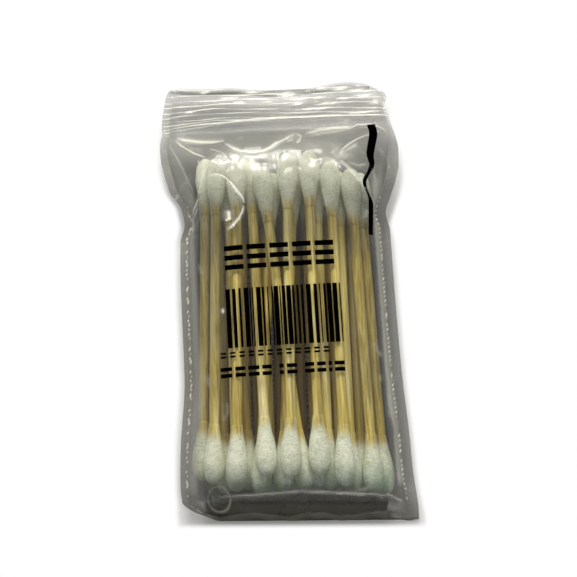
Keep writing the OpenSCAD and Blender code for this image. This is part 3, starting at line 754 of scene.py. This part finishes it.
# %% Weld dots and a trapped bubble
WELD_PITCH = 1.05
BUBBLE_X, BUBBLE_Y, BUBBLE_RADIUS = -17.4, -44.4, 2.3
for side, weld_column, inset in ((0, MARGIN_COLUMNS, -0.35), (1, MARGIN_COLUMNS + FRONT_COLUMNS, 0.35)):
    weld_x = x[:, [weld_column]] + inset + 0.12 * np.sin(y * 3.7)
    weld_line = hill(x - weld_x, 0.17) * top_side
    breaks = (1 - 0.55 * side) * (0.9 * np.sin(y * 2.3 + side) + 0.7 * np.sin(y * 0.9))
    dots = ease(-0.5, 0.8, np.sin(y * 2 * math.pi / WELD_PITCH + side) + breaks)
    dots *= np.maximum(ease(26, 19, y), 0.5 * in_header) * ease(FOLD, FOLD + 3, y)
    whiteness = np.maximum(whiteness, weld_line * np.maximum(dots, 0.2))
turn = np.arctan2(y - BUBBLE_Y, x - BUBBLE_X)
from_middle = np.hypot((x - BUBBLE_X) * 0.95, y - BUBBLE_Y) + 0.1 * np.sin(3 * turn)
rim = hill(from_middle - BUBBLE_RADIUS, 0.18) * top_side
whiteness = np.maximum(whiteness, (0.24 + 0.07 * np.sin(turn + 2)) * rim)
veil += 0.7 * whiteness * top_side
print("veil from", round(float(veil.min()), 2), "to", round(float(veil.max()), 2))

# %% [markdown]
# The film's material reads the four numbers. Its gloss is a coat over a dull base, because a coat can be
# weaker in some places than in others, and film is a little less clear where it is seen edge on.

# %% Clear film
film_material, start = new_material("creased_film")
facing = start.node("LayerWeight", inputs={"Blend": 0.3}, output="Facing")
hidden, stress_and_highlight, dark, dull = (on_mesh(start, name) for name in ("veil", "white", "shade", "matt"))
# Painted shade turns the film's grey towards near black; whitened creases, painted highlights and painted
# sheen turn it towards white.
grey = blend(dark, paint(106, 105, 94), paint(22, 22, 13))
show_surface(start, {
    "Base Color": blend(stress_and_highlight, grey, paint(250, 249, 234)), "Roughness": 0.6, "Specular IOR Level": 0.02,
    "Coat Weight": 1 - dull, "Coat IOR": 1.65, "Coat Roughness": 0.16,
    "Alpha": (hidden + 0.2 * facing).at_most(0.96),
})

# %% [markdown]
# Every mesh becomes a piece in the same way. It gets its material, stands for the imported nodes that it
# replaces, and rides on the part's one body.

# %% From a bmesh to a finished piece
def finished(name, bm, material, node_names):
    """Makes a piece of a bmesh, which stands for the named nodes."""
    mesh = bpy.data.meshes.new(name)
    bm.to_mesh(mesh)
    bm.free()
    mesh.materials.append(material)
    piece = bpy.data.objects.new(name, mesh)
    bpy.context.scene.collection.objects.link(piece)
    if node_names:
        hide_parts(*node_names)
    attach(piece, "root")
    print(name, "faces:", len(mesh.polygons))
    return piece


# %% [markdown]
# The grid is wrapped into the tube by giving each of its points the place of its row and column. Its
# first and last columns then lie on each other and are merged. The bottom fold is a thin slit, which
# one face closes, and at the top the film turns in between the lips and closes out of sight.

# %% Film mesh
LIP_DEPTH = 1.0
lip_middle = 0.5 * (points[-1, TOP_SIDE].mean(0) + points[-1, TOP_SIDE.stop:].mean(0))
inner = points[-1:].copy()
middle_z = closure_height(MOUTH) + sway(inner[:, :, 0], np.full(inner.shape[:2], MOUTH))
inner[:, :, 2] = middle_z + (inner[:, :, 2] - middle_z) * (1 - FILM / (ZIP_ROOM + FILM))
inner[:, :, 0] = lip_middle[0] + (inner[:, :, 0] - lip_middle[0]) * (1 - 2 * FILM / HEADER_LEFT)
deep = inner.copy()
deep[:, :, 1] -= LIP_DEPTH
deep[:, :, 2] += LIP_DEPTH * math.tan(ZIP_TILT)
points = np.concatenate([points, inner, deep], 0)

film_bm = bmesh.new()
bmesh.ops.create_grid(film_bm, x_segments=RING, y_segments=len(points) - 1, size=1)
looks = {"veil": veil, "white": whiteness, "shade": shade, "matt": matt}
layers = {name: film_bm.verts.layers.float.new(name) for name in looks}
ring_loop = np.concatenate([points, points[:, :1]], 1) * MM
for vert in film_bm.verts:
    column = round((vert.co.x + 1) / 2 * RING)
    row = round((vert.co.y + 1) / 2 * (len(points) - 1))
    vert.co = ring_loop[row, column].tolist()
    for name, values in looks.items():
        vert[layers[name]] = float(values[min(row, ROWS - 1), column % RING])
bmesh.ops.remove_doubles(film_bm, verts=film_bm.verts, dist=1e-7)
bmesh.ops.holes_fill(film_bm, edges=[e for e in film_bm.edges if e.is_boundary], sides=0)
bmesh.ops.recalc_face_normals(film_bm, faces=film_bm.faces)
for edge in film_bm.edges:
    edge.smooth = edge.calc_face_angle(0) < math.radians(55)
film = finished("clear_bag", film_bm, film_material, ["bag_film"])
film.data.polygons.foreach_set("use_smooth", [True] * len(film.data.polygons))

# %% [markdown]
# ## The closure
#
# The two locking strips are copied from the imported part, cut into short lengths and bent with the same
# waves as the film round them, so they stay between its walls. They are nearly as clear as it is, and the
# ridges that they press into it show more than they do.

# %% Closure strips
zip_material, start = new_material("closure_plastic")
show_surface(start, {"Base Color": paint(150, 151, 146), "Roughness": 0.25, "Alpha": 0.04})

for name in ("zip_rib_strip", "zip_channel_strip"):
    strip = bmesh.new()
    strip.from_mesh(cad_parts[name].data)
    bmesh.ops.remove_doubles(strip, verts=strip.verts, dist=1e-7)
    bmesh.ops.dissolve_limit(strip, angle_limit=0.01, verts=strip.verts, edges=strip.edges)
    for cut in np.arange(-21.5, 22, 1.0):
        bmesh.ops.bisect_plane(
            strip, geom=strip.verts[:] + strip.edges[:] + strip.faces[:],
            plane_co=(cut * MM, 0, 0), plane_no=(1, 0, 0),
        )
    places = np.array([v.co[:] for v in strip.verts]) / MM
    for vert, place in zip(strip.verts, waved(places)):
        vert.co = (place * MM).tolist()
    finished("waved_" + name, strip, zip_material, [name])

# %% [markdown]
# ## Sticks
#
# Bamboo splits along its length, so its grain is a noise stretched along the stick. Two more noises
# give each stick its own tone, and long darker streaks where the skin of the cane was. A full bag
# lets little light down to the lower rows, so the tone also sinks with depth. The shapes of the packed
# sticks are right, so they stay and only get this material.

# %% Bamboo
def bamboo_tone(start, place):
    """The colour of bamboo at each place, and its grain."""
    def fibres(scale, stretch, detail):
        stretched = start.node("Mapping", inputs={"Vector": place, "Scale": (1, stretch, 1)})
        return start.node("TexNoise", inputs={
            "Vector": stretched, "Scale": scale, "Detail": detail, "Roughness": 0.6,
        })

    grain, per_stick, streak = fibres(2600.0, 0.035, 3.0), fibres(210.0, 0.06, 1.0), fibres(900.0, 0.02, 2.0)
    tone = start.node("ValToRGB", {"stops": [
        (0.34, paint(150, 120, 42)), (0.45, paint(204, 180, 80)),
        (0.54, paint(230, 211, 122)), (0.66, paint(248, 238, 180)),
    ]}, {"Fac": 0.55 * grain + 0.45 * per_stick})
    skin = streak.node("MapRange", inputs={
        "Value": streak, "From Min": 0.54, "From Max": 0.66, "To Min": 0.0, "To Max": 0.6,
    })
    tone = blend(skin, tone, paint(124, 102, 52))
    return dim(share_along(place, "Z", 0.0125, 0.0045), tone, (0.34, 0.27, 0.12, 1)), grain


bamboo_material, start = new_material("split_bamboo")
tone, grain = bamboo_tone(start, start.node("TexCoord", output="Object"))
bump = start.node("Bump", inputs={"Strength": 0.35, "Distance": 0.00006, "Height": grain})
show_surface(start, {"Base Color": tone, "Roughness": 0.5, "Normal": bump})
sticks = [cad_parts[f"stick_{i:02d}"] for i in range(1, 31)]
for stick in sticks:
    stick.data.materials.clear()
    stick.data.materials.append(bamboo_material)
print("sticks:", len(sticks))

# %% [markdown]
# ## Cotton buds
#
# A bud is wound from a thin web of cotton on a spinning stick, so it is round but never perfect. Its place
# isn't typed in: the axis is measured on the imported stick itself, so each bud sits exactly on its own
# stick.

# %% Where the sticks lie
BUD_CAP, BUD_RADIUS, BUD_NOSE, STICK_RADIUS = 1.6, 2.35, 4.4, 1.1


def stick_ends(stick):
    """The foot end and the head end of a stick's axis, in millimetres."""
    places = np.array([v.co[:] for v in stick.data.vertices]) / MM
    axis = np.linalg.svd(places - places.mean(0), full_matrices=False)[2][0]
    axis = axis * np.sign(axis[1])
    along = (places - places.mean(0)) @ axis
    low, high = places[along < along.min() + 0.2].mean(0), places[along > along.max() - 0.2].mean(0)
    return low, high


ends = [stick_ends(stick) for stick in sticks]
print("stick length:", round(float(np.linalg.norm(ends[0][1] - ends[0][0])), 2), "mm")

# %% [markdown]
# Cotton is a fine noise in colour and in bump, with broader tufts under it. At a bud's tail the web gets
# thin and the bamboo shows through in a ragged line, by the same tone as on the sticks. The lowest buds
# lie in the dark, and the tips at the foot end lie in the end wall's shade, so both are dimmed.

# %% Cotton
cotton_material, start = new_material("wound_cotton")
place = start.node("TexCoord", output="Object")
fibre = start.node("TexNoise", inputs={
    "Vector": start.node("Mapping", inputs={"Vector": place, "Scale": (0.5, 1, 0.5)}),
    "Scale": 3200.0, "Detail": 4.0, "Roughness": 0.65, "Distortion": 0.6,
})
tuft = start.node("TexNoise", inputs={"Vector": place, "Scale": 480.0, "Detail": 2.0})
cotton_tone = start.node("ValToRGB", {"stops": [
    (0.34, paint(190, 197, 174)), (0.5, paint(236, 240, 212)), (0.62, paint(254, 255, 234)),
]}, {"Fac": 0.75 * fibre + 0.25 * tuft})
ragged = (on_mesh(start, "thin") * (0.6 + 0.8 * fibre)).at_most(1.0)
cotton_tone = dim(share_along(place, "Z", 0.0105, 0.0025), cotton_tone, (0.36, 0.41, 0.34, 1))
cotton_tone = dim(share_along(place, "Y", -0.0365, -0.0450), cotton_tone, (0.60, 0.76, 0.71, 1))
cotton_tone = blend(ragged, cotton_tone, bamboo_tone(start, place)[0])
fluff = start.node("Bump", inputs={"Strength": 0.9, "Distance": 0.00016, "Height": fibre + 0.6 * tuft})
show_surface(start, {
    "Base Color": cotton_tone, "Roughness": 0.95, "Sheen Weight": 0.35, "Sheen Roughness": 0.5,
    "Normal": fluff,
})

# %% [markdown]
# A bud's profile is two smooth curves: a round nose up to its fattest place, and a long taper that runs out
# on the stick. Its last two points turn in under the cotton, so the bud closes inside the stick.

# %% A bud's profile
def curve(a, b, c, d, t):
    """A smooth curve that leaves a towards b and comes to d from c."""
    return a * (1 - t) ** 3 + 3 * b * t * (1 - t) ** 2 + 3 * c * t * t * (1 - t) + d * t**3


def bud_profile():
    """Radius and distance from the tip along a bud, from its tip to where it runs out on the stick."""
    tail = STICK_RADIUS + 0.04
    t = np.linspace(0, 1, 12)
    nose = zip(
        curve(0, 0.6 * BUD_RADIUS, BUD_RADIUS, BUD_RADIUS, t),
        curve(0, 0, 0.35 * BUD_NOSE, BUD_NOSE, t),
    )
    t = np.linspace(0, 1, 19)[1:]
    taper = zip(
        curve(BUD_RADIUS, BUD_RADIUS, tail + 0.25, tail, t),
        curve(BUD_NOSE, BUD_NOSE + 2.2, BUD_LENGTH - 3.4, BUD_LENGTH, t),
    )
    return [*nose, *taper, (STICK_RADIUS - 0.1, BUD_LENGTH + 0.1), (STICK_RADIUS - 0.1, BUD_LENGTH - 2)]


# %% [markdown]
# The profile is spun round the stick's axis, which makes a closed skin in one step. Seeded lumps and a
# shallow spiral ridge, where the web was wound on, are then pushed into it. The attribute `thin` says
# where the web runs out.

# %% One bud
def add_bud(bm, tip, inward, seed):
    """Spins one bud round the axis that starts at its tip and points along the stick."""
    shape = np.random.default_rng(seed)
    spun = bmesh.new()
    thin_layer = spun.verts.layers.float.new("thin")
    wound_to = BUD_LENGTH - shape.uniform(0, 1.1)
    verts = [spun.verts.new((radius, 0, along)) for radius, along in bud_profile()]
    edges = [spun.edges.new(pair) for pair in zip(verts, verts[1:])]
    bmesh.ops.spin(
        spun, geom=verts + edges, cent=(0, 0, 0), axis=(0, 0, 1), angle=2 * math.pi, steps=30, use_merge=True,
    )
    bmesh.ops.remove_doubles(spun, verts=spun.verts, dist=1e-4)
    waves = []
    for _ in range(6):
        turns, rate, phase = shape.integers(1, 5), shape.uniform(0.3, 1.6), shape.uniform(0, 6.3)
        waves.append((turns, rate, phase, shape.uniform(0.4, 1)))
    turn = shape.uniform(1.2, 2.2)
    fat = shape.uniform(0.97, 1.02)
    for vert in spun.verts:
        radius, along = math.hypot(vert.co.x, vert.co.y), vert.co.z
        vert[thin_layer] = float(ease(wound_to - 3.4, wound_to - 0.2, along))
        if radius < 0.2 or along > BUD_LENGTH - 0.6:
            continue
        angle = math.atan2(vert.co.y, vert.co.x)
        lump = sum(size * math.sin(n * angle + rate * along + phase) for n, rate, phase, size in waves) / 6
        spiral = math.sin(angle + turn * along)
        grow = fat + (0.028 * lump + 0.01 * spiral) * min(1, radius / 1.2)
        vert.co.x, vert.co.y = vert.co.x * grow, vert.co.y * grow
    bmesh.ops.recalc_face_normals(spun, faces=spun.faces)
    frame_turn = Vector(inward).to_track_quat("Z", "Y").to_matrix().to_4x4()
    bmesh.ops.transform(spun, matrix=Matrix.Translation(Vector(tip)) @ frame_turn, verts=spun.verts)
    bmesh.ops.scale(spun, vec=(MM, MM, MM), verts=spun.verts)
    made = bpy.data.meshes.new("one_bud")
    spun.to_mesh(made)
    spun.free()
    bm.from_mesh(made)
    bpy.data.meshes.remove(made)


# %% [markdown]
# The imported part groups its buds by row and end, so the new ones are grouped the same way and stand for
# the same nodes. A stick may rise from one row to the next, so the row of its head is read off its height.

# %% Rows of buds
FOOT_ROW_SIZES = (8, 9, 8, 5)
third_row = FOOT_ROW_SIZES[0] + FOOT_ROW_SIZES[1]
first_row_z = ends[0][0][2]
row_rise = (ends[third_row][0][2] - first_row_z) / 2
foot_rows = [row for row, size in enumerate(FOOT_ROW_SIZES) for _ in range(size)]
head_rows = [int(np.clip(round((high[2] - first_row_z) / row_rise), 0, 3)) for low, high in ends]
print("heads in each row:", [head_rows.count(row) for row in range(4)])
for end_name, rows in (("foot", foot_rows), ("head", head_rows)):
    at_foot = end_name == "foot"
    for row in range(4):
        buds = bmesh.new()
        for i, (low, high) in enumerate(ends):
            if rows[i] != row:
                continue
            inward = (high - low) / np.linalg.norm(high - low) * (1 if at_foot else -1)
            base = low if at_foot else high
            add_bud(buds, base - BUD_CAP * inward, inward, 100 * row + i + (0 if at_foot else 1000))
        node_name = f"{end_name}_buds_row_{row + 1}"
        piece = finished(f"{end_name}_cotton_row_{row + 1}", buds, cotton_material, [node_name])
        piece.data.shade_smooth()

# %% [markdown]
# ## Marks on the film
#
# The front film carries plain black marks. Ink has no thickness to speak of, so each mark is a thin skin.
# It is drawn as a flat patch over the bag, cut finely, and each of its points is then dropped
# straight down on the film, so the mark follows every fold. Dense black ink shows almost no gloss.

# %% Ink
ink_material, start = new_material("black_ink")
wear = start.node("TexNoise", inputs={
    "Vector": start.node("TexCoord", output="Object"), "Scale": 900.0, "Detail": 2.0,
})
ink_tone = blend(wear, paint(0, 0, 0), paint(5, 4, 4))
show_surface(start, {"Base Color": ink_tone, "Roughness": 0.8, "Specular IOR Level": 0.0})

film_tree = BVHTree.FromObject(film, bpy.context.evaluated_depsgraph_get())
DROP_FROM, INK_LIFT = 40, 0.05


def lay_down(bm, name):
    """Drops a flat mark straight down on the film's front, and makes a piece of it."""
    for vert in bm.verts:
        vert.co.z = DROP_FROM * MM
        vert.co.z = film_tree.ray_cast(vert.co, Vector((0, 0, -1)))[0].z + INK_LIFT * MM
    finished(name, bm, ink_material, [])


def patch(bm, x0, y0, x1, y1, pitch=0.6):
    """A flat patch from one corner to the other, cut finely enough to follow the film."""
    columns, rows = max(1, round((x1 - x0) / pitch)), max(1, round((y1 - y0) / pitch))
    made = bmesh.ops.create_grid(bm, x_segments=columns, y_segments=rows, size=0.5)["verts"]
    bmesh.ops.scale(bm, vec=((x1 - x0) * MM, (y1 - y0) * MM, 1), verts=made)
    bmesh.ops.translate(bm, vec=((x0 + x1) / 2 * MM, (y0 + y1) / 2 * MM, 0), verts=made)


# %% [markdown]
# The marks are five stacks of bold strokes, a block of bars of mixed widths, and rows of dashes.

# %% Strokes, bars and dashes
marks = bmesh.new()
for i in range(5):
    left = -13.5 + 4.95 * i
    for low in (4.65, 6.75, 8.85):
        patch(marks, left, low, left + 4.1, low + 1.1, 0.4)
lay_down(marks, "bold_marks")

bars = bmesh.new()
bar_random = np.random.default_rng(7)
bar_x = -13.7
while bar_x < 11.2:
    bar_width = float(bar_random.choice([0.27, 0.27, 0.5, 0.75, 1.0]))
    patch(bars, bar_x, -12.6, min(bar_x + bar_width, 11.5), 0.4, 0.55)
    bar_x += bar_width + float(bar_random.choice([0.24, 0.24, 0.45, 0.65]))
lay_down(bars, "bar_block")

dashes = bmesh.new()
for i in range(12):
    for low in (-14.7, -13.9):
        patch(dashes, -15.4 + 2.02 * i, low, -14.2 + 2.02 * i, low + 0.45, 0.5)
for start_x, end_x in ((-15.6, -13.1), (-12.4, -10.2), (-9.6, -7.2), (-6.6, -4.6), (-2.9, -2.0), (-1.3, 0.9),
                       (2.6, 4.6), (5.2, 7.1), (7.7, 8.4), (9.0, 11.2)):
    for low in (-19, -17.6):
        patch(dashes, start_x, low, end_x, low + 0.85, 0.45)
lay_down(dashes, "small_dashes")

# %% [markdown]
# Near the right ear runs a plain stripe. It is one strip of a grid, bent to a line of places with a width at
# each, and softened along the line so that it has no corners.

# %% Plain stripe
# Place across and along, and half width
STRIPE = [
    (21.4, 39.6, 0.95), (21.6, 37, 0.95), (21.3, 35, 0.95), (20.4, 31.5, 0.9), (19.9, 29.2, 0.85),
    (20.4, 27.2, 0.6), (19.2, 25, 0.35), (18.2, 23.4, 0.5), (18.2, 22.1, 0.3), (19.3, 20.6, 0.4),
    (19.7, 19.3, 0.6), (19.3, 15.5, 0.55), (19, 11.6, 0.5),
]
STRIPE_END, STRIPE_START = STRIPE[0][1], STRIPE[-1][1]
stripe = bmesh.new()
made = bmesh.ops.create_grid(stripe, x_segments=4, y_segments=90, size=1)["verts"]
across_places, along_places, half_widths = np.array(STRIPE[::-1]).T
for vert in made:
    y_here = STRIPE_START + (vert.co.y + 1) / 2 * (STRIPE_END - STRIPE_START)
    near_y = y_here + np.linspace(-0.8, 0.8, 9)
    middle = np.interp(near_y, along_places, across_places).mean()
    half = np.interp(near_y, along_places, half_widths).mean()
    vert.co = Vector((middle + vert.co.x * half, y_here, 0)) * MM
lay_down(stripe, "wavy_stripe")

# %% [markdown]
# ## The floor
#
# The camera should see pure white round the bag, while the floor under it stays in the bag's shadow. The
# floor is a fine grid near the bag, drawn out wide at its rim. Each of its points knows how far outside
# the bag's outline it lies, and the glow grows with that.

# %% Floor
floor_bm = bmesh.new()
made = bmesh.ops.create_grid(floor_bm, x_segments=84, y_segments=132, size=1)["verts"]
bmesh.ops.scale(floor_bm, vec=(42 * MM, 66 * MM, 1), verts=made)
rim = [edge for edge in floor_bm.edges if edge.is_boundary]
drawn = bmesh.ops.extrude_edge_only(floor_bm, edges=rim)["geom"]
drawn = [part for part in drawn if isinstance(part, bmesh.types.BMVert)]
bmesh.ops.scale(floor_bm, vec=(40, 28, 1), verts=drawn)
bmesh.ops.recalc_face_normals(floor_bm, faces=floor_bm.faces)
outside = floor_bm.verts.layers.float.new("outside")
places = np.array([vert.co[:] for vert in floor_bm.verts]) / MM
unskewed = places[:, 1] + FOLD_SKEW * places[:, 0]
left, right = section_at(np.clip(unskewed, FOLD, MOUTH))[:2]
gaps = np.max([-left - places[:, 0], places[:, 0] - right, FOLD - unskewed, unskewed - MOUTH - 0.6], 0)
for vert, gap in zip(floor_bm.verts, gaps):
    vert[outside] = float(gap)
floor_mesh = bpy.data.meshes.new("floor")
floor_bm.to_mesh(floor_mesh)
floor_bm.free()
floor = bpy.data.objects.new("floor", floor_mesh)
bpy.context.scene.collection.objects.link(floor)
floor_material, start = new_material("pale_floor")
gap = on_mesh(start, "outside")
clear = gap.node("MapRange", {"interpolation_type": "SMOOTHSTEP"}, {
    "Value": gap, "From Min": 0.6, "From Max": 2.1, "To Min": 0.0, "To Max": 1.0,
})
ground = start.node("BsdfDiffuse", inputs={"Color": (0.9, 0.9, 0.9, 1)})
glow = start.node("Emission", inputs={"Color": WHITE, "Strength": 1.0})
show(start, start.node("MixShader", inputs={0: clear * seen_as_white(start), 1: ground, 2: glow}))
floor_mesh.materials.append(floor_material)
print("floor faces:", len(floor_mesh.polygons))

# %% [markdown]
# ## The end
#
# White should stay white, so the picture is shown without any curve. A ray may meet many clear surfaces in
# a row, such as both walls of the bag and the strips between them, and has to pass them all.

# %% Finish
bpy.context.scene.view_settings.view_transform = "Standard"
bpy.context.scene.cycles.transparent_max_bounces = 32
